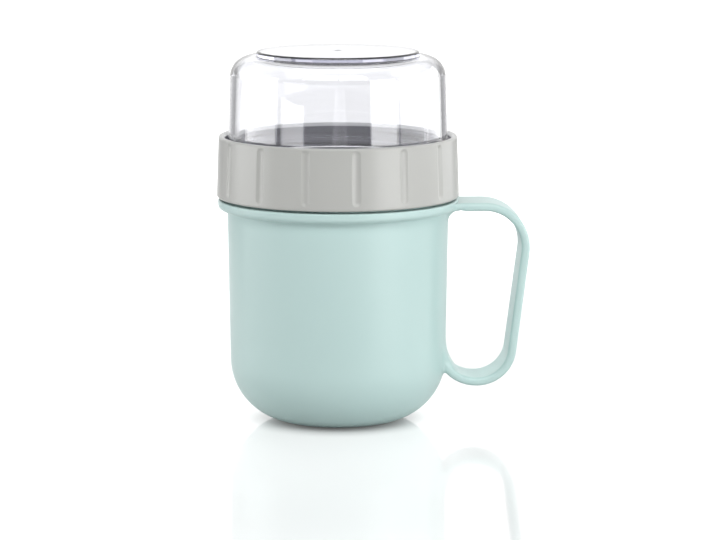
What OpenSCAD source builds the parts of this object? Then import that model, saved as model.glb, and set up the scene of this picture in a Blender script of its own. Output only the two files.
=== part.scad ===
// To-go cup for muesli with two compartments: a cup with a band handle below, and above it a clear
// dome that screws into the same collar and stands as a bowl when it is turned over.
// Lengths are in millimetres and +Z is up. The origin is on the cup's axis at the base, and the
// handle points to +X.

/* [Cup] */
// Outer diameter of the neck that the collar screws onto
neck_d = 92.2; // [84:0.1:100]
// Height of the neck above the flange
neck_h = 11.4; // [10:0.1:13]
// How far the body stands out past the neck, on each side
neck_step = 0.2; // [0.1:0.05:0.5]
// Height from the base to the underside of the flange
body_h = 89.5; // [75:0.5:110]
// Taper of the body on each side, in degrees
body_draft = 1.05; // [0.3:0.05:1.5]
// Radius of the round between the wall and the base
corner_r = 26; // [16:0.1:28]
// Thickness of the body wall
wall_t = 2.2; // [1.6:0.1:2.8]
// Thickness of the floor
floor_t = 2.6; // [2:0.1:4]
// Height of the flange under the collar
flange_h = 4.1; // [3.4:0.1:5]
// How far the flange sits back from the collar's lower edge
flange_inset = 0.5; // [0.2:0.05:1]
// Round on the lower edge of the flange
flange_round = 2; // [1.2:0.1:2.4]
// Round on the upper edge of the flange
flange_edge = 0.7; // [0.3:0.1:0.9]
// Fillet under the flange
flange_fillet = 1.2; // [0.5:0.1:1.5]

/* [Handle] */
// Width of the band
handle_w = 23; // [18:0.5:28]
// Thickness of the band
handle_t = 3.5; // [3:0.1:4.5]
// Round along the edges of the band
handle_edge = 1.4; // [0.6:0.1:1.4]
// Lean of the grip away from the cup, in degrees
handle_lean = 7.3; // [3:0.1:10]
// Radius of the upper bend, along the middle of the band
upper_bend_r = 17.2; // [12:0.1:20]
// Radius of the lower bend, along the middle of the band
lower_bend_r = 14.7; // [11:0.1:18]
// Radius of the bend at the lower root, along the middle of the band
root_bend_r = 15.4; // [12:0.1:19]
// Length of the straight stretch between the two lower bends
bottom_l = 0.6; // [0.4:0.1:6]
// Height of the handle's lowest point above the base
handle_bottom = 15.2; // [10:0.1:22]
// How far the inside of the root's bend sinks into the body, at the band's edges
root_overlap = 0.3; // [0.2:0.1:0.6]
// How far the arm's underside lies below the flange's
arm_drop = 0.35; // [0:0.05:0.6]
// Fillet between the arm and the body, under the arm
arm_fillet = 5; // [2:0.1:6]
// Fillet between the arm and the flange, at the arm's sides
side_fillet = 5; // [3:0.1:7]

/* [Collar] */
// Height of the collar
collar_h = 25.6; // [22:0.1:30]
// Taper of the collar on each side, in degrees
collar_draft = 2; // [0.5:0.1:3]
// Wall of the collar at its upper edge
collar_wall = 1.2; // [1:0.1:2]
// Round on the collar's outer edges
collar_edge = 0.8; // [0.4:0.1:1]
// Open gap between the flange and the collar
collar_gap = 1; // [0.5:0.1:1.5]
// Height of the lip over the divider
lip_h = 1.4; // [1.2:0.1:2]
// Chamfer inside the lip
lip_chamfer = 1; // [0.4:0.1:1]
// Depth of the ridge that holds the divider from below
snap_h = 0.4; // [0.2:0.05:0.6]
// Number of grip grooves
groove_count = 15; // [8:1:20]
// Width of a grip groove
groove_w = 3.5; // [2:0.1:4]
// Depth of a grip groove
groove_depth = 0.55; // [0.3:0.05:0.7]
// How much more the grooves lean than the collar's face, in degrees, so that they deepen upwards
groove_lean = 0.3; // [0.2:0.05:0.5]
// Distance of a groove's ends from the collar's edges
groove_margin = 2; // [1.6:0.1:5]
// How much nearer the grooves run to the upper edge
groove_rise = 1.1; // [0:0.1:2.5]
// Turn of the first groove from the handle, in degrees
groove_turn = 12.6; // [0:0.1:24]

/* [Divider] */
// Thickness of the wall between the two compartments
web_t = 2.2; // [1.6:0.1:3]
// Thickness of the socket walls
socket_wall = 1.2; // [1:0.1:1.8]
// Height of the divider's lower edge above the collar's lower edge
socket_inset = 1; // [0.8:0.1:1.6]
// Thickness of the ribs that keep the seals in place
rib_t = 1.2; // [0.8:0.1:1.6]

/* [Seals] */
// Height of a seal
seal_h = 1.6; // [1.2:0.1:2.2]
// Width of a seal
seal_w = 2.6; // [2.2:0.1:3.2]
// Round on the edges of a seal
seal_edge = 0.4; // [0.2:0.05:0.5]

/* [Dome] */
// Height of the dome from its rim to its shoulder
dome_h = 42.9; // [30:0.1:60]
// Thickness of the dome
dome_wall = 2.8; // [2:0.1:3.2]
// Taper of the dome on each side, in degrees
dome_draft = 1.9; // [0.5:0.1:3]
// Radius of the dome's shoulder
shoulder_r = 8.2; // [5:0.1:12]
// Diameter of the raised foot
foot_d = 68; // [50:0.5:72]
// Height of the foot above the shoulder
foot_h = 2.2; // [1:0.1:3]
// Thickness of the wall round the foot
foot_t = 2.4; // [1.8:0.1:3]
// Round on the edges of the foot
foot_edge = 0.5; // [0.2:0.05:0.6]

/* [Fits] */
// Room for the screw threads between a socket and what screws into it
thread_room = 1.2; // [0.8:0.1:1.6]
// Gap between the divider and the collar
insert_gap = 0.1; // [0.05:0.05:0.2]
// Gap between a seal and the rib inside it
rib_gap = 0.3; // [0.2:0.05:0.5]

/* [Hidden] */
$fn = 128;

// Radii, from the neck outwards
neck_r = neck_d / 2;
body_r = neck_r + neck_step;
socket_r = neck_r + thread_room;
divider_r = socket_r + socket_wall;
collar_bore_r = divider_r + insert_gap;
collar_top_r = collar_bore_r + collar_wall;
collar_bottom_r = collar_top_r + collar_h * tan(collar_draft);
flange_r = collar_bottom_r - flange_inset;
seal_r = neck_r;
rib_r = seal_r - seal_w - rib_gap;
dome_rim_r = socket_r - thread_room;
foot_r = foot_d / 2;

// Heights, from the base upwards
flange_top = body_h + flange_h;
rim_z = flange_top + neck_h;
web_z = rim_z + seal_h;
dome_seal_z = web_z + web_t;
dome_rim_z = dome_seal_z + seal_h;
dome_top = dome_rim_z + dome_h;
collar_z = flange_top + collar_gap;
collar_top = collar_z + collar_h;
divider_z = collar_z + socket_inset;
divider_top = collar_top - lip_h;
rib_h = seal_h - rib_gap;

// How far the handle's straight stretches lap over its bends, and how far they stand proud there
lap = 0.3;
lap_step = 0.01;

// Half outline of an upright bowl with its floor at height 0: a flat floor, a round, and a wall that
// leans out by draft degrees to mouth_r at the height depth
module bowl_outline(mouth_r, depth, round_r, draft) {
  centre_r = mouth_r - (depth - round_r) * tan(draft) - round_r / cos(draft);
  intersection() {
    square([mouth_r, depth]);
    union() {
      translate([centre_r, round_r]) circle(round_r);
      polygon([
        [0, 0],
        [centre_r, 0],
        [centre_r, round_r],
        [centre_r + round_r * cos(draft), round_r * (1 - sin(draft))],
        [mouth_r, depth],
        [0, depth],
      ]);
    }
  }
}

// Half outline of a flat ring between two radii, with its edges rounded
module ring_outline(inner_r, outer_r, height, edge) {
  width = outer_r - inner_r;
  translate([inner_r + width / 2, height / 2]) rounded_rectangle([width, height], edge);
}

// Half outline of a disc that stands on the height 0, with its upper edge rounded
module disc_outline(radius, height, edge) {
  square([radius, height - edge]);
  square([radius - edge, height]);
  translate([radius - edge, height - edge]) circle(edge);
}

// Rectangle about the origin with rounded corners
module rounded_rectangle(size, corner) {
  square([size.x - 2 * corner, size.y], center = true);
  square([size.x, size.y - 2 * corner], center = true);
  for (x = [-1, 1], y = [-1, 1])
    translate([x * (size.x / 2 - corner), y * (size.y / 2 - corner)]) circle(corner);
}

// Radius of the body's outer wall at a height above the round
function wall_r(z) = body_r - (body_h - z) * tan(body_draft);

// The cup: body, flange and neck turned about the axis, and the handle, hollowed out together
module cup() {
  color([0.74, 0.85, 0.84])
    difference() {
      union() {
        rotate_extrude() cup_outline();
        handle();
      }
      rotate_extrude() cavity_outline();
    }
}

module cup_outline() {
  bowl_outline(body_r, body_h, corner_r, body_draft);
  translate([0, body_h]) flange_outline();
  translate([0, body_h - flange_h]) square([neck_r, rim_z - body_h + flange_h]);
  translate([body_r, body_h]) under_fillet(flange_fillet);
}

// Half outline of the flange, with a large round below and a small one above
module flange_outline() {
  side_h = flange_h - flange_round - flange_edge;
  square([flange_r - flange_round, flange_round]);
  translate([0, flange_round]) square([flange_r, side_h]);
  translate([0, flange_h - flange_edge]) square([flange_r - flange_edge, flange_edge]);
  intersection() {
    translate([flange_r - flange_round, flange_round]) circle(flange_round);
    square([flange_r, flange_h - flange_edge]);
  }
  translate([flange_r - flange_edge, flange_h - flange_edge]) circle(flange_edge);
}

// Fillet in the corner between a wall, left of the origin, and a face above it
module under_fillet(radius) {
  difference() {
    translate([-wall_t / 2, -radius]) square([radius + wall_t / 2, radius + flange_fillet / 2]);
    translate([radius, -radius]) circle(radius);
  }
}

// Half outline of the inside, which runs out through the rim
module cavity_outline() {
  mouth_z = rim_z + wall_t;
  mouth_r = wall_r(mouth_z) - wall_t / cos(body_draft);
  translate([0, floor_t]) bowl_outline(mouth_r, mouth_z - floor_t, corner_r - wall_t, body_draft);
}

// The handle: the band's section along two lower bends, a straight grip, an upper bend and an arm, each
// tangent to the next, in the plane y = 0
module handle() {
  bottom_z = handle_bottom + handle_t / 2;
  root_z = bottom_z + root_bend_r;
  lower_z = bottom_z + lower_bend_r;
  arm_z = body_h - arm_drop + handle_t / 2;
  root_r = wall_r(root_z);
  root_sag = root_r - sqrt(pow(root_r, 2) - pow(handle_w / 2 - handle_edge, 2));
  root_x = root_r + root_bend_r - handle_t / 2 - root_sag - root_overlap;
  lower_x = root_x + bottom_l;
  bend_step = (lower_bend_r - upper_bend_r) * sin(handle_lean);
  grip_l = (arm_z - upper_bend_r - lower_z + bend_step) / cos(handle_lean);
  grip_x = lower_x + lower_bend_r * cos(handle_lean);
  grip_z = lower_z - lower_bend_r * sin(handle_lean);
  upper_x = grip_x + grip_l * sin(handle_lean) - upper_bend_r * cos(handle_lean);
  upper_z = arm_z - upper_bend_r;

  translate([root_x, 0, root_z]) bend(root_bend_r, 180, 90);
  translate([root_x, 0, bottom_z]) rotate([0, 90, 0]) straight(bottom_l);
  translate([lower_x, 0, lower_z]) bend(lower_bend_r, 270, 90 - handle_lean);
  translate([grip_x, 0, grip_z]) rotate([0, handle_lean, 0]) straight(grip_l);
  translate([upper_x, 0, upper_z]) bend(upper_bend_r, -handle_lean, 90 + handle_lean);
  translate([neck_r, 0, arm_z]) rotate([0, 90, 0]) straight(upper_x - neck_r);
  arm_under_fillet();
  for (side = [-1, 1]) arm_side_fillet(side, arm_z);
}

// Section of the band, thin along x and wide along y, grown by a margin all round
module band(margin = 0) {
  rounded_rectangle([handle_t + 2 * margin, handle_w + 2 * margin], handle_edge + margin);
}

// A straight stretch of the band up the z axis, which laps a hair's breadth over the bends at its ends
module straight(length) {
  translate([0, 0, -lap]) linear_extrude(length + 2 * lap) band(lap_step);
}

// The band along an arc in the plane y = 0, centred on the origin
module bend(radius, start, sweep) {
  rotate([90, 0, 0])
    rotate([0, 0, start])
      rotate_extrude(angle = sweep)
        translate([radius, 0]) band();
}

// The fillet under the arm, turned about the cup's axis across the flat of the band
module arm_under_fillet() {
  sweep = 2 * asin((handle_w / 2 - handle_edge) / (body_r + arm_fillet));
  rotate([0, 0, -sweep / 2])
    rotate_extrude(angle = sweep)
      translate([body_r, body_h - arm_drop]) under_fillet(arm_fillet);
}

// The band's edge carried round into the flange's edge, on one side of the arm
module arm_side_fillet(side, arm_z) {
  centre_y = handle_w / 2 + side_fillet;
  centre_x = sqrt(pow(flange_r + side_fillet, 2) - pow(centre_y, 2));
  sweep = 90 - atan2(centre_y, centre_x);
  depth = side_fillet;
  translate([centre_x, side * centre_y, arm_z])
    rotate([0, 0, side > 0 ? -90 - sweep : 90])
      rotate_extrude(angle = sweep)
        translate([side_fillet + depth / 2, 0]) rounded_rectangle([depth, handle_t], handle_edge);
}

// The ring between the cup's rim and the divider
module cup_seal() {
  seal_at(rim_z);
}

// The ring between the divider and the dome's rim
module dome_seal() {
  seal_at(dome_seal_z);
}

module seal_at(z) {
  color([0.9, 0.9, 0.89])
    translate([0, 0, z])
      rotate_extrude() ring_outline(seal_r - seal_w, seal_r, seal_h, seal_edge);
}

// The collar: a tapered ring with a lip over the divider, a ridge under it and grip grooves outside
module collar() {
  color([0.78, 0.78, 0.76])
    difference() {
      rotate_extrude() {
        collar_wall_outline();
        lip_outline();
        snap_outline();
      }
      for (i = [0:groove_count - 1]) rotate([0, 0, groove_turn + i * 360 / groove_count]) groove();
    }
}

// Radius of the collar's outer face at a height
function collar_r(z) = collar_top_r + (collar_top - z) * tan(collar_draft);

module collar_wall_outline() {
  low = [collar_r(collar_z + collar_edge) - collar_edge / cos(collar_draft), collar_z + collar_edge];
  high = [collar_r(collar_top - collar_edge) - collar_edge / cos(collar_draft), collar_top - collar_edge];
  outward = collar_edge * [cos(collar_draft), sin(collar_draft)];
  polygon([
    [collar_bore_r, collar_z],
    [low.x, collar_z],
    low + outward,
    high + outward,
    [high.x, collar_top],
    [collar_bore_r, collar_top],
  ]);
  translate(low) circle(collar_edge);
  translate(high) circle(collar_edge);
}

module lip_outline() {
  polygon([
    [socket_r, divider_top],
    [collar_bore_r + collar_wall / 2, divider_top],
    [collar_bore_r + collar_wall / 2, collar_top],
    [socket_r + lip_chamfer, collar_top],
    [socket_r, collar_top - lip_chamfer],
  ]);
}

module snap_outline() {
  polygon([
    [collar_bore_r, divider_z - 2 * snap_h],
    [collar_bore_r + collar_wall / 2, divider_z - 2 * snap_h],
    [collar_bore_r + collar_wall / 2, divider_z],
    [collar_bore_r - snap_h, divider_z],
  ]);
}

// What one grip groove removes: a rod with round ends, laid along the tapered face
module groove() {
  groove_r = (pow(groove_w / 2, 2) + pow(groove_depth, 2)) / (2 * groove_depth);
  low_z = collar_z + groove_margin + groove_w / 2;
  high_z = collar_top - groove_margin - groove_w / 2 + groove_rise;
  groove_l = (high_z - low_z) / cos(collar_draft);
  translate([collar_r(low_z) + groove_r - groove_depth, 0, low_z])
    rotate([0, -collar_draft - groove_lean, 0]) {
      cylinder(r = groove_r, h = groove_l);
      sphere(groove_r);
      translate([0, 0, groove_l]) sphere(groove_r);
    }
}

// The divider: two sockets back to back, the wall between them, and a rib inside each seal
module divider() {
  color([0.42, 0.42, 0.44])
    rotate_extrude() {
      translate([socket_r, divider_z]) square([socket_wall, divider_top - divider_z]);
      translate([0, web_z]) square([divider_r, web_t]);
      translate([rib_r - rib_t, web_z - rib_h]) square([rib_t, web_t + 2 * rib_h]);
    }
}

// The dome: a bowl upside down, with a raised foot on its flat top that is hollow from inside
module dome() {
  color([0.9, 0.93, 0.97, 0.4])
    rotate_extrude()
      difference() {
        union() {
          translate([0, dome_top]) mirror([0, 1]) bowl_outline(dome_rim_r, dome_h, shoulder_r, dome_draft);
          translate([0, dome_top - dome_wall / 2]) disc_outline(foot_r, foot_h + dome_wall / 2, foot_edge);
        }
        translate([0, dome_top - dome_wall]) mirror([0, 1]) hollow_outline();
        translate([0, dome_top - 2 * dome_wall])
          disc_outline(foot_r - foot_t, foot_h + dome_wall, foot_edge);
      }
}

// Half outline of the dome's inside, which runs out through the rim
module hollow_outline() {
  depth = dome_h;
  mouth_r = dome_rim_r + dome_wall * tan(dome_draft) - dome_wall / cos(dome_draft);
  bowl_outline(mouth_r, depth, shoulder_r - dome_wall, dome_draft);
}

cup();
cup_seal();
collar();
divider();
dome_seal();
dome();
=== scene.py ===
import functools
import math

import bmesh
import bpy
import numpy as np
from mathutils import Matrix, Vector


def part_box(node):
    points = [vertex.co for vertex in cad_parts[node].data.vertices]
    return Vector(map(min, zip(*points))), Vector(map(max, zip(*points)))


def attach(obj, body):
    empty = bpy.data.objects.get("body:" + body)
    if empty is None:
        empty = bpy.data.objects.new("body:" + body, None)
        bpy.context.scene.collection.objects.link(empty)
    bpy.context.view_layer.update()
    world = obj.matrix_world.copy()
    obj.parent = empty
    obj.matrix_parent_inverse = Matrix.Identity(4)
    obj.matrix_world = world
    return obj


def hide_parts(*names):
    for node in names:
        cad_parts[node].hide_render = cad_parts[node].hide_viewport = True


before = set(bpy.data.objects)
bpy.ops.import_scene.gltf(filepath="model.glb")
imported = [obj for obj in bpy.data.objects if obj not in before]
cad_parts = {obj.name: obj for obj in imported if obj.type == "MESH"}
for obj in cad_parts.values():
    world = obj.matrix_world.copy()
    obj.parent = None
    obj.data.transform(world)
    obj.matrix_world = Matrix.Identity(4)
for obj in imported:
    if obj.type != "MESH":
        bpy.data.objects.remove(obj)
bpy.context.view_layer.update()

# Outlines are written in millimetres, and the meshes are made in metres
MM = 0.001
TURN = 2 * math.pi

# Points within weld of each other are one point, and a point within on_wall_gap of a wall lies on it
weld = 0.001
on_wall_gap = 0.01


def box_mm(node):
    """Lowest and highest corner of a node at rest."""
    low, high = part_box(node)
    return np.array(low) / MM, np.array(high) / MM


# Heights and radii that the frame gives
cup_high = box_mm("cup")[1]
cup_seal_high = box_mm("cup_seal")[1]
collar_low, collar_high = box_mm("collar")
divider_low, divider_high = box_mm("divider")
dome_seal_low = box_mm("dome_seal")[0]
dome_low, dome_high = box_mm("dome")

rim_z = cup_high[2]
flange_r = cup_high[1]
neck_r = cup_seal_high[1]
web_z = cup_seal_high[2]
web_top = dome_seal_low[2]
collar_z = collar_low[2]
collar_top = collar_high[2]
divider_r = divider_high[1]
divider_z = divider_low[2]
divider_top = divider_high[2]
dome_rim_r = dome_high[1]
dome_rim_z = dome_low[2]
foot_top = dome_high[2]

# Cup
neck_step = 0.2
body_r = neck_r + neck_step
neck_h = 11.4
flange_h = 4.1
flange_top = rim_z - neck_h
body_h = flange_top - flange_h
body_draft = math.radians(1.05)
corner_r = 26.0
wall_t = 2.2
floor_t = 2.6
flange_round = 2.0
flange_edge = 0.7
flange_fillet = 1.2
neck_fillet = 0.4
rim_edge = 0.5

# Handle
handle_w = 23.0
handle_t = 3.5
handle_edge = 1.4
handle_lean = math.radians(7.3)
upper_bend_r = 17.2
lower_bend_r = 14.7
root_bend_r = 15.4
root_end = math.radians(240)
bottom_l = 0.6
handle_bottom = 15.2
root_overlap = 0.3
root_fillet_out = 3.4
root_fillet_in = 9.0
root_fillet_side = 2.0
arm_drop = 0.35
arm_blend = 3.0
arm_fillet = 5.0
side_fillet = 5.0

# Collar
collar_draft = math.radians(2)
insert_gap = 0.1
collar_wall = 1.2
collar_bore_r = divider_r + insert_gap
collar_top_r = collar_bore_r + collar_wall
collar_edge = 0.8
lip_chamfer = 1.0
lip_top_edge = 0.2
lip_low_edge = 0.15
snap_h = 0.4
groove_count = 15
groove_pitch = TURN / groove_count
groove_w = 3.5
groove_depth = 0.55
groove_lean = math.radians(0.3)
groove_margin = 2.0
groove_rise = 1.1
groove_turn = math.radians(12.6)

# Divider
socket_wall = 1.2
socket_r = divider_r - socket_wall
divider_edge = 0.25
rib_t = 1.2
rib_h = 1.3
rib_gap = 0.3

# Seals
seal_w = 2.6
seal_edge = 0.4
seal_seam = 0.2

# Dome
dome_wall = 2.8
dome_draft = math.radians(1.9)
dome_rim_edge = 0.4
shoulder_r = 8.2
ceiling_t = 1.75
foot_r = 34.0
foot_h = 2.2
foot_t = 1.2
foot_plate = 3.3
foot_edge = 0.9
foot_fillet = 0.3
recess_fillet = 0.5
recess_edge = 0.3
gate_r = 1.3
gate_h = 0.4
gate_slope = 0.3
gate_edge = 0.1
dome_top = foot_top - foot_h

# Screw threads, right-handed. Each starts at its own height, runs for its own count of turns, and fades
# at both ends over a small part of a turn
thread_lead = 6.0
thread_base = 2.4
thread_crest = 1.0
thread_h = 0.75
thread_fade = 0.04
neck_thread_z = 96.4
neck_thread_turns = 1.15
lower_thread_z = 97.4
lower_thread_turns = 1.0
upper_thread_z = 110.6
upper_thread_turns = 1.2
dome_thread_z = 113.6
dome_thread_turns = 1.0
dome_thread_h = 0.35

# The gap in the threads of dome and upper socket, with its width in radians
vent_angle = math.radians(84.6)
vent_w = 0.02

# How fine the meshes are: columns round a turned piece, rings along each part of the handle, and the
# longest step along an outline where it carries a thread or a groove
cup_columns = 288
divider_columns = 240
dome_columns = 288
seal_columns = 180
root_bend_rings = 7
lower_bend_rings = 21
straight_rings = 12
upper_bend_rings = 26
arm_ring_count = 26
thread_step = 0.3
groove_step = 0.4
sharp_angle = math.radians(35)


# Outlines and meshes

def unit(vector):
    return vector / np.linalg.norm(vector)


def smooth(t):
    """A smooth step from 0 to 1."""
    t = np.clip(t, 0, 1)
    return t * t * (3 - 2 * t)


def arc(centre, radius, start, turn, flat=0.01, widest=math.radians(11.25)):
    """Points of an arc, close enough together that no chord strays by more than flat."""
    step = min(widest, 2 * math.acos(1 - flat / max(radius, 2 * flat)))
    angles = start + turn * np.linspace(0, 1, max(4, math.ceil(abs(turn) / step)) + 1)
    return centre + radius * np.column_stack((np.cos(angles), np.sin(angles)))


def rounded(corners, longest=2.5):
    """Points (r, z) of an open outline through corners (r, z, radius of the round)."""
    points = []
    places = [np.array(c[:2], float) for c in corners]
    for i, corner in enumerate(places):
        radius = corners[i][2]
        if radius == 0:
            points.append(corner[None])
            continue
        before, after = unit(places[i - 1] - corner), unit(places[i + 1] - corner)
        half = math.acos(np.clip(before @ after, -1, 1)) / 2
        centre = corner + unit(before + after) * radius / math.sin(half)
        first = corner + before * radius / math.tan(half) - centre
        last = corner + after * radius / math.tan(half) - centre
        turn = math.atan2(first[0] * last[1] - first[1] * last[0], first @ last)
        points.append(arc(centre, radius, math.atan2(first[1], first[0]), turn))
    return refine(np.concatenate(points), -math.inf, math.inf, longest)


def refine(points, low, high, longest):
    """The same outline with its long stretches between the heights low and high cut into equal lengths."""
    found = [points[:1]]
    for a, b in zip(points, points[1:]):
        inside = low <= (a[1] + b[1]) / 2 <= high
        count = max(1, math.ceil(np.linalg.norm(b - a) / longest)) if inside else 1
        found.append(a + (b - a) * (np.arange(1, count + 1) / count)[:, None])
    return np.concatenate(found)


def grid_mesh(name, points, ring=True, loop=False):
    """Mesh through points[column, row]. A ring joins the last column to the first, a loop the rows."""
    columns, rows = points.shape[:2]
    across = np.arange(columns if ring else columns - 1)
    along = np.arange(rows if loop else rows - 1)
    a, b = np.meshgrid(across, along, indexing="ij")
    a2, b2 = (a + 1) % columns, (b + 1) % rows
    corners = (a * rows + b, a2 * rows + b, a2 * rows + b2, a * rows + b2)
    faces = np.stack(corners, -1).reshape(-1, 4)
    mesh = bpy.data.meshes.new(name)
    mesh.from_pydata((points.reshape(-1, 3) * MM).tolist(), [], faces.tolist())
    return mesh


def clean(mesh, fill=False):
    """Welds points that coincide, closes open ends if asked, and turns the faces outwards."""
    work = bmesh.new()
    work.from_mesh(mesh)
    bmesh.ops.remove_doubles(work, verts=work.verts, dist=weld * MM)
    if fill:
        bmesh.ops.holes_fill(work, edges=[e for e in work.edges if e.is_boundary])
    bmesh.ops.recalc_face_normals(work, faces=work.faces)
    work.to_mesh(mesh)
    work.free()
    return mesh


def lathe(name, outline, angles, shape=None, loop=False):
    """Mesh of an outline turned about the axis. shape gives the outline at an angle where it varies."""
    points = []
    for angle in angles:
        r, z = (outline if shape is None else shape(outline, angle)).T
        points.append(np.column_stack((r * math.cos(angle), r * math.sin(angle), z)))
    return clean(grid_mesh(name, np.array(points), loop=loop))


def even_angles(count):
    return np.arange(count) * TURN / count


def union(name, meshes):
    """One closed mesh of several that run into each other."""
    objects = []
    for mesh in meshes:
        objects.append(bpy.data.objects.new(mesh.name, mesh))
        bpy.context.scene.collection.objects.link(objects[-1])
    for other in objects[1:]:
        join = objects[0].modifiers.new("join", "BOOLEAN")
        join.operation = "UNION"
        join.solver = "EXACT"
        join.object = other
    graph = bpy.context.evaluated_depsgraph_get()
    joined = bpy.data.meshes.new_from_object(objects[0].evaluated_get(graph))
    joined.name = name
    for piece in objects:
        bpy.data.objects.remove(piece)
    return without_slivers(joined)


def without_slivers(mesh):
    """The mesh without the faces of no area that a union can leave."""
    work = bmesh.new()
    work.from_mesh(mesh)
    bmesh.ops.dissolve_degenerate(work, dist=weld * MM, edges=work.edges)
    work.to_mesh(mesh)
    work.free()
    return mesh


def thread_ridge(z, angle, start, turns, height=thread_h, gap_at=None):
    """Height of a thread's ridge at the heights z. It climbs from start, and may have a gap at an angle."""
    flank = (thread_base - thread_crest) / 2
    ridge = np.zeros_like(z)
    for lap in range(math.ceil(turns) + 1):
        along = angle / TURN + lap
        if along > turns:
            break
        ends = smooth(min(along, turns - along) / thread_fade)
        if gap_at is not None:
            off = abs((angle - gap_at + math.pi) % TURN - math.pi)
            ends = ends * smooth((off - vent_w / 2) / vent_w)
        away = np.abs(z - start - along * thread_lead)
        ridge = np.maximum(ridge, ends * smooth((thread_base / 2 - away) / flank))
    return ridge * height


# Cup

def cone_r(z):
    """Radius of the body's tapered wall, as if it ran on to the base and the rim."""
    return body_r - (body_h - z) * math.tan(body_draft)


def wall_r(z):
    """Radius of the body's outside at a height, in the round at the base too."""
    centre_r = cone_r(corner_r) - corner_r / math.cos(body_draft)
    in_round = z < corner_r * (1 - math.sin(body_draft))
    below = np.clip(corner_r - z, 0, corner_r)
    return np.where(in_round, centre_r + np.sqrt(corner_r ** 2 - below ** 2), cone_r(z))


def cup_outline():
    """From the middle of the base, up the outside, over the rim and down the inside."""
    inner_t = wall_t / math.cos(body_draft)
    outline = rounded([
        (0, 0, 0),
        (cone_r(0), 0, corner_r),
        (body_r, body_h, flange_fillet),
        (flange_r, body_h, flange_round),
        (flange_r, flange_top, flange_edge),
        (neck_r, flange_top, neck_fillet),
        (neck_r, rim_z, rim_edge),
        (cone_r(rim_z) - inner_t, rim_z, rim_edge),
        (cone_r(floor_t) - inner_t, floor_t, corner_r - wall_t),
        (0, floor_t, 0),
    ])
    return refine(outline, flange_top + neck_fillet, rim_z - rim_edge, thread_step)


def neck_thread(outline, angle):
    """The cup's outline with the thread on its neck."""
    outline = outline.copy()
    r, z = outline.T
    on_neck = (np.abs(r - neck_r) < on_wall_gap) & (z > flange_top) & (z < rim_z)
    outline[:, 0] += on_neck * thread_ridge(z, angle, neck_thread_z, neck_thread_turns)
    return outline


def band_section(half, low, high, low_edge, high_edge):
    """The band's section as points (y, height above its middle), the same count for any sizes."""
    round_points, flat_points = 7, 10
    points = []
    quarter = np.linspace(0, math.pi / 2, round_points)
    for y_side, h, edge, start in (
        (1, low, low_edge, -math.pi / 2),
        (1, high, high_edge, 0),
        (-1, high, high_edge, math.pi / 2),
        (-1, low, low_edge, math.pi),
    ):
        centre = np.array((y_side * (half - edge), h + edge * (1 if h == low else -1)))
        turn = start + quarter
        points.append(centre + edge * np.column_stack((np.cos(turn), np.sin(turn))))
    flat = np.linspace(0, 1, flat_points)[1:-1, None]
    top = points[1][-1] + (points[2][0] - points[1][-1]) * flat
    bottom = points[3][-1] + (points[0][0] - points[3][-1]) * flat
    return np.concatenate((points[0], points[1], top, points[2], points[3], bottom))


def plain_section():
    """The band's section along the grip and its bends."""
    return band_section(handle_w / 2, -handle_t / 2, handle_t / 2, handle_edge, handle_edge)


def band_normals():
    """Outward directions (y, height) at the points of the plain section."""
    section = plain_section()
    along = np.roll(section, -1, 0) - np.roll(section, 1, 0)
    along /= np.linalg.norm(along, axis=1)[:, None]
    return np.column_stack((along[:, 1], -along[:, 0]))


def ring_at(x, z, lean, section):
    """The section set at (x, z), with its outer side facing along lean in the plane y = 0."""
    y, h = section.T
    return np.column_stack((x + h * math.cos(lean), y, z + h * math.sin(lean)))


def bend_rings(x, z, radius, angles):
    """Plain rings round a bend about (x, z)."""
    section = plain_section()
    for angle in angles:
        yield ring_at(x + radius * math.cos(angle), z + radius * math.sin(angle), angle, section)


def grip_rings(x, z, length):
    """Plain rings up the straight grip from (x, z)."""
    section = plain_section()
    for along in np.linspace(0, length, straight_rings):
        spot = (x + along * math.sin(handle_lean), z + along * math.cos(handle_lean))
        yield ring_at(*spot, -handle_lean, section)


def handle_rings():
    """Rings of the handle from its lower root, round the grip, to the inside of the flange."""
    down, up = 1.5 * math.pi, math.pi / 2
    bottom_z = handle_bottom + handle_t / 2
    root_z = bottom_z + root_bend_r
    lower_z = bottom_z + lower_bend_r
    arm_z = body_h - arm_drop + handle_t / 2
    root_r = float(wall_r(root_z))
    root_sag = root_r - math.sqrt(root_r ** 2 - (handle_w / 2 - handle_edge) ** 2)
    root_x = root_r + root_bend_r - handle_t / 2 - root_sag - root_overlap
    lower_x = root_x + bottom_l
    bend_step = (lower_bend_r - upper_bend_r) * math.sin(handle_lean)
    grip_l = (arm_z - upper_bend_r - lower_z + bend_step) / math.cos(handle_lean)
    grip_x = lower_x + lower_bend_r * math.cos(handle_lean)
    grip_z = lower_z - lower_bend_r * math.sin(handle_lean)
    upper_x = grip_x + grip_l * math.sin(handle_lean) - upper_bend_r * math.cos(handle_lean)
    upper_z = arm_z - upper_bend_r
    root_turn = np.linspace(root_end, down, root_bend_rings)
    lower_turn = np.linspace(down, TURN - handle_lean, lower_bend_rings)[:-1]
    upper_turn = np.linspace(-handle_lean, up, upper_bend_rings)[1:]
    return np.array([
        *lower_root(root_x, root_z),
        *bend_rings(root_x, root_z, root_bend_r, root_turn),
        *bend_rings(lower_x, lower_z, lower_bend_r, lower_turn),
        *grip_rings(grip_x, grip_z, grip_l),
        *bend_rings(upper_x, upper_z, upper_bend_r, upper_turn),
        *arm_rings(upper_x, arm_z),
    ])


def bend_point(x, z, radius, y, angle):
    """A point beside the plane y = 0 on a bend about (x, z)."""
    return np.array((x + radius * math.cos(angle), y, z + radius * math.sin(angle)))


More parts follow.
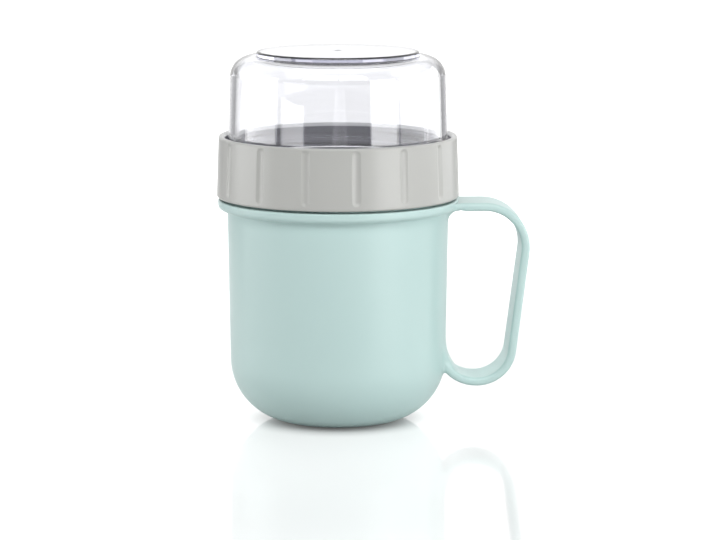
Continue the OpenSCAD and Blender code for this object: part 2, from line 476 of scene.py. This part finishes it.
def lower_root(root_x, root_z):
    """Rings of the lower root, from inside the wall, down a fillet on every side, to the plain band."""
    proud, sunk = 0.03, 0.6
    search_points, fillet_points, band_points = 500, 9, 6
    search = np.linspace(root_end, math.pi, search_points)
    fillet_steps = np.linspace(1, 0, fillet_points)
    rails = []
    for (y, h), (ny, nh) in zip(plain_section(), band_normals()):
        radius = root_bend_r + h
        fillet = root_fillet_side * ny ** 2 + (root_fillet_out if nh > 0 else root_fillet_in) * nh ** 2
        x = root_x + radius * np.cos(search)
        z = root_z + radius * np.sin(search)
        hit = search[np.argmax(np.hypot(x, y) < wall_r(z))]
        leave = hit + fillet / radius
        spot = functools.partial(bend_point, root_x, root_z, radius, y)
        corner = spot(hit)
        out = unit(np.array((corner[0], corner[1], 0)))
        away = np.array((nh * math.cos(hit), ny, nh * math.sin(hit)))
        away = unit(away - out * (away @ out))
        start = spot(leave)
        end = on_wall(corner + away * fillet, proud)
        rail = [on_wall(corner + away * (fillet + sunk), -sunk)]
        for t in fillet_steps:
            rail.append(start * (1 - t) ** 2 + corner * 2 * t * (1 - t) + end * t ** 2)
        rail.extend(spot(angle) for angle in np.linspace(leave, root_end, band_points)[1:-1])
        rails.append(rail)
    return np.array(rails).transpose(1, 0, 2)


def on_wall(point, above):
    """The point moved straight out from the axis, to a height above the body's wall."""
    r = float(wall_r(point[2])) + above
    return np.array((*(unit(point[:2]) * r), point[2]))


def arm_rings(upper_x, arm_z):
    """Rings of the arm, widening along the fillets at its sides until they are inside the flange."""
    below, inside_r = 0.02, 47.0
    centre_y = handle_w / 2 + side_fillet
    centre_x = math.sqrt((flange_r + side_fillet) ** 2 - centre_y ** 2)
    meet_x = flange_r * centre_x / (flange_r + side_fillet)
    for x in np.linspace(upper_x, inside_r, arm_ring_count)[1:]:
        t = float(smooth((flange_r + arm_blend - x) / arm_blend))
        reach = np.clip(centre_x - x, 0, centre_x - meet_x)
        half = centre_y - math.sqrt(side_fillet ** 2 - reach ** 2)
        section = band_section(
            half,
            -handle_t / 2 + (arm_drop - below) * t,
            handle_t / 2,
            handle_edge + (flange_round - handle_edge) * t,
            handle_edge + (flange_edge - handle_edge) * t,
        )
        yield ring_at(x, arm_z, math.pi / 2, section)


def arm_under_fillet():
    """The fillet under the arm, turned about the axis, fading into the flange's own fillet."""
    full, faded = math.radians(9), math.radians(18)
    sunk, top, hidden = 1.1, 0.6, 0.05
    round_points, column_count = 13, 37
    faded_r = flange_fillet - hidden
    turn = np.linspace(math.pi, math.pi / 2, round_points)
    quarter = np.column_stack((np.cos(turn), np.sin(turn)))
    columns = []
    for angle in np.linspace(-faded, faded, column_count):
        share = float(smooth((faded - abs(angle)) / (faded - full)))
        radius = faded_r + (arm_fillet - faded_r) * share
        face_z = body_h - arm_drop * share
        curve = (body_r + radius, face_z - radius) + radius * quarter
        back = body_r - sunk
        corner = ((body_r + radius, body_h + top), (back, body_h + top), (back, face_z - radius))
        r, z = np.concatenate((curve, corner)).T
        columns.append(np.column_stack((r * math.cos(angle), r * math.sin(angle), z)))
    return clean(grid_mesh("arm_fillet", np.array(columns), ring=False, loop=True), fill=True)


def cup_mesh():
    body = lathe("body", cup_outline(), even_angles(cup_columns), neck_thread)
    handle = clean(grid_mesh("handle", handle_rings(), ring=False, loop=True), fill=True)
    return union("mint_cup", [body, arm_under_fillet(), handle])


# Collar

def collar_r(z):
    """Radius of the collar's tapered outside at a height."""
    return collar_top_r + (collar_top - z) * math.tan(collar_draft)


def collar_outline():
    """Up the outside, over the lip, and down the bore past the bead that holds the divider."""
    outline = rounded([
        (collar_bore_r, collar_z, 0),
        (collar_r(collar_z), collar_z, collar_edge),
        (collar_r(collar_top), collar_top, collar_edge),
        (socket_r + lip_chamfer, collar_top, lip_top_edge),
        (socket_r, collar_top - lip_chamfer, lip_low_edge),
        (socket_r, divider_top, 0),
        (collar_bore_r, divider_top, 0),
        (collar_bore_r, divider_z, 0),
        (collar_bore_r - snap_h, divider_z, 0),
        (collar_bore_r, divider_z - 2 * snap_h, 0),
    ])
    return refine(outline, collar_z + groove_margin / 2, collar_top - collar_edge, groove_step)


def collar_angles():
    """Angles that crowd at the grooves."""
    groove_columns, land_columns, shoulder_share = 21, 11, 1.25
    reach = groove_w / 2 / collar_top_r
    shoulder = shoulder_share * reach
    between = groove_pitch - 2 * shoulder
    near = np.concatenate(([-shoulder], np.linspace(-reach, reach, groove_columns), [shoulder]))
    far = shoulder + between * np.linspace(0, 1, land_columns)[1:-1]
    turns = groove_turn + np.arange(groove_count) * groove_pitch
    return np.concatenate([turn + np.concatenate((near, far)) for turn in turns])


def grooved(outline, angle):
    """The collar's outline with the nearest grip groove cut into its outside."""
    outline = outline.copy()
    r, z = outline.T
    off = (angle - groove_turn + groove_pitch / 2) % groove_pitch - groove_pitch / 2
    low_z = collar_z + groove_margin + groove_w / 2
    high_z = collar_top - groove_margin - groove_w / 2 + groove_rise
    past = np.maximum(0, np.maximum(low_z - z, z - high_z))
    away = np.hypot(collar_top_r * off, past) / (groove_w / 2)
    depth = groove_depth + np.clip(z - low_z, 0, high_z - low_z) * math.tan(groove_lean)
    outside = np.abs(r - collar_r(z)) < on_wall_gap
    outline[:, 0] -= outside * depth * np.clip(1 - away ** 2, 0, 1)
    return outline


def collar_mesh():
    return lathe("grip_collar", collar_outline(), collar_angles(), grooved, loop=True)


# Divider

def divider_outline():
    """From the middle of the wall's underside, round both sockets, to the middle of its top."""
    rib_r = neck_r - seal_w - rib_gap
    outline = rounded([
        (0, web_z, 0),
        (rib_r - rib_t, web_z, divider_edge),
        (rib_r - rib_t, web_z - rib_h, divider_edge),
        (rib_r, web_z - rib_h, divider_edge),
        (rib_r, web_z, divider_edge),
        (socket_r, web_z, divider_edge),
        (socket_r, divider_z, divider_edge),
        (divider_r, divider_z, divider_edge),
        (divider_r, divider_top, divider_edge),
        (socket_r, divider_top, divider_edge),
        (socket_r, web_top, divider_edge),
        (rib_r, web_top, divider_edge),
        (rib_r, web_top + rib_h, divider_edge),
        (rib_r - rib_t, web_top + rib_h, divider_edge),
        (rib_r - rib_t, web_top, divider_edge),
        (0, web_top, 0),
    ])
    outline = refine(outline, divider_z, web_z - divider_edge, thread_step)
    return refine(outline, web_top + divider_edge, divider_top, thread_step)


def socket_threads(outline, angle):
    """The divider's outline with a thread in each socket."""
    outline = outline.copy()
    r, z = outline.T
    on_socket = np.abs(r - socket_r) < on_wall_gap
    lower = on_socket & (z > divider_z) & (z < web_z)
    upper = on_socket & (z > web_top) & (z < divider_top)
    outline[:, 0] -= lower * thread_ridge(z, angle, lower_thread_z, lower_thread_turns)
    outline[:, 0] -= upper * thread_ridge(z, angle, upper_thread_z, upper_thread_turns, gap_at=vent_angle)
    return outline


def divider_mesh():
    return lathe("dark_divider", divider_outline(), even_angles(divider_columns), socket_threads)


# Dome

def dome_r(z):
    """Radius of the dome's tapered outside at a height."""
    return dome_rim_r - (z - dome_rim_z) * math.tan(dome_draft)


def dome_outline():
    """From the recess under the foot, down the inside, round the rim, and up to the top of the foot."""
    inner_t = dome_wall / math.cos(dome_draft)
    ceiling = dome_top - ceiling_t
    inner_shoulder_r = shoulder_r - (dome_wall + ceiling_t) / 2
    recess_r, recess_z = foot_r - foot_t, foot_top - foot_plate
    outline = rounded([
        (0, recess_z, 0),
        (recess_r, recess_z, recess_fillet),
        (recess_r, ceiling, recess_edge),
        (dome_r(ceiling) - inner_t, ceiling, inner_shoulder_r),
        (dome_r(dome_rim_z) - inner_t, dome_rim_z, dome_rim_edge),
        (dome_r(dome_rim_z), dome_rim_z, dome_rim_edge),
        (dome_r(dome_top), dome_top, shoulder_r),
        (foot_r, dome_top, foot_fillet),
        (foot_r, foot_top, foot_edge),
        (gate_r, foot_top, gate_edge),
        (gate_r - gate_slope, foot_top - gate_h, gate_edge),
        (0, foot_top - gate_h, 0),
    ])
    return refine(outline, dome_rim_z + dome_rim_edge, collar_top, thread_step)


def skirt_thread(outline, angle):
    """The dome's outline with the thread on its skirt."""
    outline = outline.copy()
    r, z = outline.T
    outside = np.abs(r - dome_r(z)) < on_wall_gap
    ridge = thread_ridge(z, angle, dome_thread_z, dome_thread_turns, dome_thread_h, vent_angle)
    outline[:, 0] += outside * ridge
    return outline


def dome_mesh():
    return lathe("clear_dome", dome_outline(), even_angles(dome_columns), skirt_thread)


# Seals

def seal_mesh(name, low, high):
    """A ring with round edges between two heights. Its outline starts and ends on its underside."""
    middle_r = neck_r - seal_w / 2
    outline = rounded([
        (middle_r, low, 0),
        (neck_r, low, seal_edge),
        (neck_r, high, seal_edge),
        (neck_r - seal_w, high, seal_edge),
        (neck_r - seal_w, low, seal_edge),
        (middle_r - seal_seam, low, 0),
    ])
    return lathe(name, outline, even_angles(seal_columns), loop=True)


# Nodes

def new_material(name):
    """A material and its main shader."""
    material = bpy.data.materials.new(name)
    material.use_nodes = True
    return material, material.node_tree.nodes["Principled BSDF"]


def add_node(material, kind, inputs=(), **settings):
    """A node with its settings, and its inputs set to values or linked to sockets."""
    node = material.node_tree.nodes.new(kind)
    for key, value in settings.items():
        setattr(node, key, value)
    for key, value in dict(inputs).items():
        if isinstance(value, bpy.types.NodeSocket):
            link(material, value, node.inputs[key])
        else:
            node.inputs[key].default_value = value
    return node


def link(material, output, target):
    material.node_tree.links.new(output, target)


def set_output(material, output, target="Surface"):
    link(material, output, material.node_tree.nodes["Material Output"].inputs[target])


def value_node(material, operation, first, second):
    """A sum, product or the like of two sockets or values."""
    inputs = {0: first, 1: second}
    return add_node(material, "ShaderNodeMath", inputs, operation=operation).outputs["Value"]


def ramp(material, value, start, end, low, high, curve="SMOOTHSTEP"):
    """A change from low to high as the value goes from start to end."""
    inputs = {"Value": value, "From Min": start, "From Max": end, "To Min": low, "To Max": high}
    return add_node(material, "ShaderNodeMapRange", inputs, interpolation_type=curve).outputs["Result"]


def noise(material, scale, detail=3.0):
    """Noise fixed to the piece, with scale in features per metre."""
    place = add_node(material, "ShaderNodeTexCoord").outputs["Object"]
    inputs = {"Vector": place, "Scale": scale, "Detail": detail}
    return add_node(material, "ShaderNodeTexNoise", inputs).outputs["Fac"]


def spread(material, fac, low, high):
    """The noise's middle stretched to run from low to high."""
    middle_low, middle_high = 0.3, 0.7
    return ramp(material, fac, middle_low, middle_high, low, high, "LINEAR")


def tinted(material, fac, first, second):
    """A colour between first and second."""
    colours = {"A": (*first, 1), "B": (*second, 1)}
    mix = add_node(material, "ShaderNodeMix", data_type="RGBA")
    for socket in mix.inputs:
        if socket.type == "RGBA" and socket.name in colours:
            socket.default_value = colours[socket.name]
    link(material, fac, mix.inputs["Factor"])
    return next(s for s in mix.outputs if s.type == "RGBA")


# Materials

def add_clouds(material, shader, cloud_scale, first, second, gloss_scale, rough):
    """Faint clouds in the colour, and an uneven gloss."""
    clouds = spread(material, noise(material, cloud_scale), 0, 1)
    link(material, tinted(material, clouds, first, second), shader.inputs["Base Color"])
    gloss = spread(material, noise(material, gloss_scale), *rough)
    link(material, gloss, shader.inputs["Roughness"])


def add_bump(material, shader, height, strength, depth):
    """Bump from a height, with its depth in millimetres."""
    inputs = {"Strength": strength, "Distance": depth * MM, "Height": height}
    bump = add_node(material, "ShaderNodeBump", inputs)
    link(material, bump.outputs["Normal"], shader.inputs["Normal"])


def moulded_plastic(name, first, second, rough, grain, grain_depth):
    """Satin plastic with the fine grain of the mould."""
    cloud_scale, gloss_scale, grain_strength = 35, 160, 0.35
    material, shader = new_material(name)
    add_clouds(material, shader, cloud_scale, first, second, gloss_scale, rough)
    shader.inputs["IOR"].default_value = 1.49
    add_bump(material, shader, noise(material, grain, detail=2), grain_strength, grain_depth)
    return material


def clear_plastic():
    """Polished clear plastic that darkens a little over a long way through it."""
    first, second, rough = (0.985, 0.988, 1.0), (0.97, 0.975, 0.99), (0.0, 0.02)
    cloud_scale, gloss_scale, wave_scale = 20, 90, 40
    wave_strength, wave_depth = 0.1, 0.02
    absorbed = {"Color": (0.845, 0.845, 0.89, 1), "Density": 65.0}
    shadow_tint = (0.9, 0.9, 0.91, 1)
    material, shader = new_material("clear_plastic")
    add_clouds(material, shader, cloud_scale, first, second, gloss_scale, rough)
    shader.inputs["IOR"].default_value = 1.57
    shader.inputs["Transmission Weight"].default_value = 1.0
    add_bump(material, shader, noise(material, wave_scale, detail=1), wave_strength, wave_depth)
    absorb = add_node(material, "ShaderNodeVolumeAbsorption", absorbed)
    set_output(material, absorb.outputs["Volume"], "Volume")
    shadow = add_node(material, "ShaderNodeLightPath").outputs["Is Shadow Ray"]
    see_through = add_node(material, "ShaderNodeBsdfTransparent", {"Color": shadow_tint}).outputs["BSDF"]
    inputs = {0: shadow, 1: shader.outputs["BSDF"], 2: see_through}
    set_output(material, add_node(material, "ShaderNodeMixShader", inputs).outputs["Shader"])
    return material


mint = moulded_plastic(
    "mint_plastic", (0.53, 0.70, 0.68), (0.522, 0.694, 0.675),
    rough=(0.32, 0.34), grain=2600, grain_depth=0.02,
)
grey = moulded_plastic(
    "grey_plastic", (0.475, 0.480, 0.461), (0.466, 0.471, 0.452),
    rough=(0.28, 0.30), grain=2600, grain_depth=0.015,
)
dark = moulded_plastic(
    "dark_plastic", (0.12, 0.12, 0.13), (0.105, 0.105, 0.115),
    rough=(0.28, 0.32), grain=1500, grain_depth=0.01,
)
rubber = moulded_plastic(
    "silicone", (0.80, 0.80, 0.78), (0.77, 0.77, 0.75),
    rough=(0.45, 0.55), grain=3000, grain_depth=0.02,
)
clear = clear_plastic()


# Pieces

def add_piece(mesh, body, node, material):
    """A smooth piece of one material that stands for a node and rides on its body."""
    piece = bpy.data.objects.new(mesh.name, mesh)
    bpy.context.scene.collection.objects.link(piece)
    mesh.materials.clear()
    mesh.materials.append(material)
    mesh.polygons.foreach_set("use_smooth", np.ones(len(mesh.polygons), bool))
    mesh.set_sharp_from_angle(angle=sharp_angle)
    normals = piece.modifiers.new("even_normals", "WEIGHTED_NORMAL")
    normals.keep_sharp = True
    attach(piece, body)
    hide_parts(node)


add_piece(cup_mesh(), "cup", "cup", mint)
add_piece(seal_mesh("lower_seal", rim_z, web_z), "cup_seal", "cup_seal", rubber)
add_piece(collar_mesh(), "collar", "collar", grey)
add_piece(divider_mesh(), "collar", "divider", dark)
add_piece(seal_mesh("upper_seal", web_top, dome_rim_z), "dome_seal", "dome_seal", rubber)
add_piece(dome_mesh(), "dome", "dome", clear)


# Camera

camera_at = Vector((-0.0535, -1.4764, 0.2931))
camera_to = Vector((0.00839, -0.00035, 0.0631))
camera_azimuth = math.atan2(camera_at.y, camera_at.x)


def make_camera(lens, sensor_width):
    data = bpy.data.cameras.new("camera")
    data.lens = lens
    data.sensor_width = sensor_width
    camera = bpy.data.objects.new("camera", data)
    camera.location = camera_at
    camera.rotation_euler = (camera_to - camera_at).to_track_quat("-Z", "Y").to_euler()
    bpy.context.scene.collection.objects.link(camera)
    bpy.context.scene.camera = camera


make_camera(lens=179, sensor_width=36)


# Light

panel_distance = 1.0


def add_lamp(name, lamp, radiance, area):
    """A lamp of even radiance that the camera doesn't see."""
    lamp.energy = radiance * math.pi * area
    panel = bpy.data.objects.new(name, lamp)
    panel.visible_camera = False
    bpy.context.scene.collection.objects.link(panel)
    return panel


def softbox(name, azimuth, span, low, high, radiance):
    """An upright panel of light. Azimuth is in degrees to the right of the camera, seen from the cup."""
    lamp = bpy.data.lights.new(name, "AREA")
    lamp.shape = "RECTANGLE"
    lamp.size = 2 * panel_distance * math.tan(math.radians(span) / 2)
    lamp.size_y = high - low
    panel = add_lamp(name, lamp, radiance, lamp.size * lamp.size_y)
    angle = camera_azimuth + math.radians(azimuth)
    towards = Vector((math.cos(angle), math.sin(angle), 0))
    panel.location = towards * panel_distance + Vector((0, 0, (low + high) / 2))
    panel.rotation_euler = (-towards).to_track_quat("-Z", "Y").to_euler()
    return panel


def overhead(size, height, radiance):
    """A square panel of light above the cup."""
    lamp = bpy.data.lights.new("overhead", "AREA")
    lamp.shape = "SQUARE"
    lamp.size = size
    add_lamp("overhead", lamp, radiance, size ** 2).location = (0, 0, height)


# Panels: name, azimuth and span in degrees, lower and upper edge in metres, radiance
panels = (
    ("key_right", 50.2, 30.5, 0.0, 0.4, 5.5),
    ("side_right", 88, 40, 0.035, 0.405, 2.2),
    ("high_right", 88, 40, 0.4, 1.2, 0.5),
    ("back_right", 122, 34, 0.0, 0.4, 2.2),
    ("front_right", 18, 34, 0.6, 1.4, 4.2),
    ("front_left", -20, 40, 0.6, 1.4, 4.0),
    ("low_left", -48.5, 25, 0.045, 0.092, 3.2),
    ("side_left", -90, 44, 0.0, 0.4, 4.2),
    ("back_left", -124, 24, 0.0, 0.4, 0.8),
)
for panel_sizes in panels:
    softbox(*panel_sizes)
overhead(size=0.9, height=1.3, radiance=0.6)

# A light from behind that shows in no gloss and in no clear plastic
back_high = softbox("back_high", 180, 60, 0.6, 1.4, 3.0)
back_high.visible_glossy = False
back_high.visible_transmission = False


# Surroundings

def make_world(mirrored):
    """White where the camera looks, less bright in gloss and clear plastic, and no light on surfaces."""
    world = bpy.data.worlds.new("studio")
    world.use_nodes = True
    path = add_node(world, "ShaderNodeLightPath").outputs
    seen = value_node(world, "MAXIMUM", path["Is Glossy Ray"], path["Is Transmission Ray"])
    strength = value_node(world, "MULTIPLY", seen, mirrored)
    strength = value_node(world, "MAXIMUM", strength, path["Is Camera Ray"])
    background = world.node_tree.nodes["Background"]
    background.inputs["Color"].default_value = (1, 1, 1, 1)
    link(world, strength, background.inputs["Strength"])
    bpy.context.scene.world = world


def stage_sheet(name, corners, material):
    """One flat sheet that isn't part of the object."""
    mesh = bpy.data.meshes.new(name)
    mesh.from_pydata(corners, [], [(0, 1, 2, 3)])
    mesh.materials.append(material)
    sheet = bpy.data.objects.new(name, mesh)
    bpy.context.scene.collection.objects.link(sheet)


def floor_shade(material, paper, distance):
    """The table's colour: pale on the paper and darker past it, with painted shade under the cup."""
    table_tint, paper_tint = (0.2, 0.2, 0.2), (0.66, 0.66, 0.66)
    # Painted shade: the table's colour darkens under the cup
    painted_shade_under_cup = ramp(material, distance, 0.016, 0.042, 0.3, 1.0)
    pale = value_node(material, "MULTIPLY", paper, painted_shade_under_cup)
    return tinted(material, pale, table_tint, paper_tint)


def floor_glow(material, distance, x, aside, lift):
    """The paper's glow: a painted shadow under the cup, painted shade round it where it mirrors and on the
    handle's side, painted light at the left and the sides, and white far away.
    """
    # Each change runs between two places in metres, from one strength to another
    # Painted shadow: the glow is low at the cup's foot and rises to the lift
    glow = ramp(material, distance, 0.0195, 0.044, 0.06, lift)
    # Painted shade: the glow drops round the cup where it mirrors
    painted_shade_round_cup = ramp(material, distance, 0.08, 0.22, 0.0, -0.11)
    far_white = ramp(material, distance, 0.15, 0.7, 0.0, 1.0 - lift)
    # Painted light: the glow rises at the left, over the cup's shadow there
    painted_light_left = ramp(material, x, -0.09, -0.036, 0.3, 0.0)
    # Painted shade: the glow drops right of the cup, on the handle's side
    painted_shade_by_handle = ramp(material, x, 0.042, 0.055, 0.0, -0.08)
    # Painted light: the glow rises at both sides, over the cup's shadows
    painted_light_sides = ramp(material, aside, 0.1, 0.3, 0.0, 0.6)
    for change in (painted_shade_round_cup, far_white, painted_light_left, painted_shade_by_handle, painted_light_sides):
        glow = value_node(material, "ADD", glow, change)
    return glow


def make_floor(half, lift, mirrored):
    """A glossy white table. Paper lies on it under the cup, and past the paper the table is darker."""
    material, shader = new_material("white_table")
    shader.inputs["Roughness"].default_value = 0.06
    shader.inputs["IOR"].default_value = 1.4
    place = add_node(material, "ShaderNodeTexCoord").outputs["Object"]
    x = add_node(material, "ShaderNodeSeparateXYZ", {"Vector": place}).outputs["X"]
    aside = value_node(material, "ABSOLUTE", x, 0.0)
    distance = add_node(material, "ShaderNodeVectorMath", {0: place}, operation="LENGTH").outputs["Value"]
    paper = ramp(material, aside, 0.22, 0.42, 1.0, 0.0)
    link(material, floor_shade(material, paper, distance), shader.inputs["Base Color"])
    path = add_node(material, "ShaderNodeLightPath").outputs
    seen = value_node(material, "MAXIMUM", path["Is Glossy Ray"], path["Is Transmission Ray"])
    seen = value_node(material, "MULTIPLY", seen, ramp(material, paper, 0, 1, 0.0, mirrored))
    seen = value_node(material, "MAXIMUM", path["Is Camera Ray"], seen)
    # The glow paints shadow and light on the floor
    glow = value_node(material, "MULTIPLY", floor_glow(material, distance, x, aside, lift), seen)
    emission = add_node(material, "ShaderNodeEmission", {"Strength": glow}).outputs["Emission"]
    both = add_node(material, "ShaderNodeAddShader", {0: shader.outputs["BSDF"], 1: emission})
    set_output(material, both.outputs["Shader"])
    corners = [(-half, -half, 0), (half, -half, 0), (half, half, 0), (-half, half, 0)]
    stage_sheet("floor", corners, material)


def make_backdrop(half, height, far, strength):
    """A white wall behind the table, which lights no dull surface and throws no shadow."""
    material = new_material("white_wall")[0]
    path = add_node(material, "ShaderNodeLightPath").outputs
    emission = add_node(material, "ShaderNodeEmission", {"Strength": strength}).outputs["Emission"]
    see_through = add_node(material, "ShaderNodeBsdfTransparent").outputs["BSDF"]
    unseen = value_node(material, "MAXIMUM", path["Is Diffuse Ray"], path["Is Shadow Ray"])
    mix = add_node(material, "ShaderNodeMixShader", {0: unseen, 1: emission, 2: see_through})
    set_output(material, mix.outputs["Shader"])
    corners = [(-half, far, 0), (half, far, 0), (half, far, height), (-half, far, height)]
    stage_sheet("backdrop", corners, material)


make_world(mirrored=0.75)
make_floor(half=4, lift=0.46, mirrored=0.44)
make_backdrop(half=1.2, height=1.2, far=2.6, strength=1.2)
bpy.context.scene.view_settings.view_transform = "Standard"
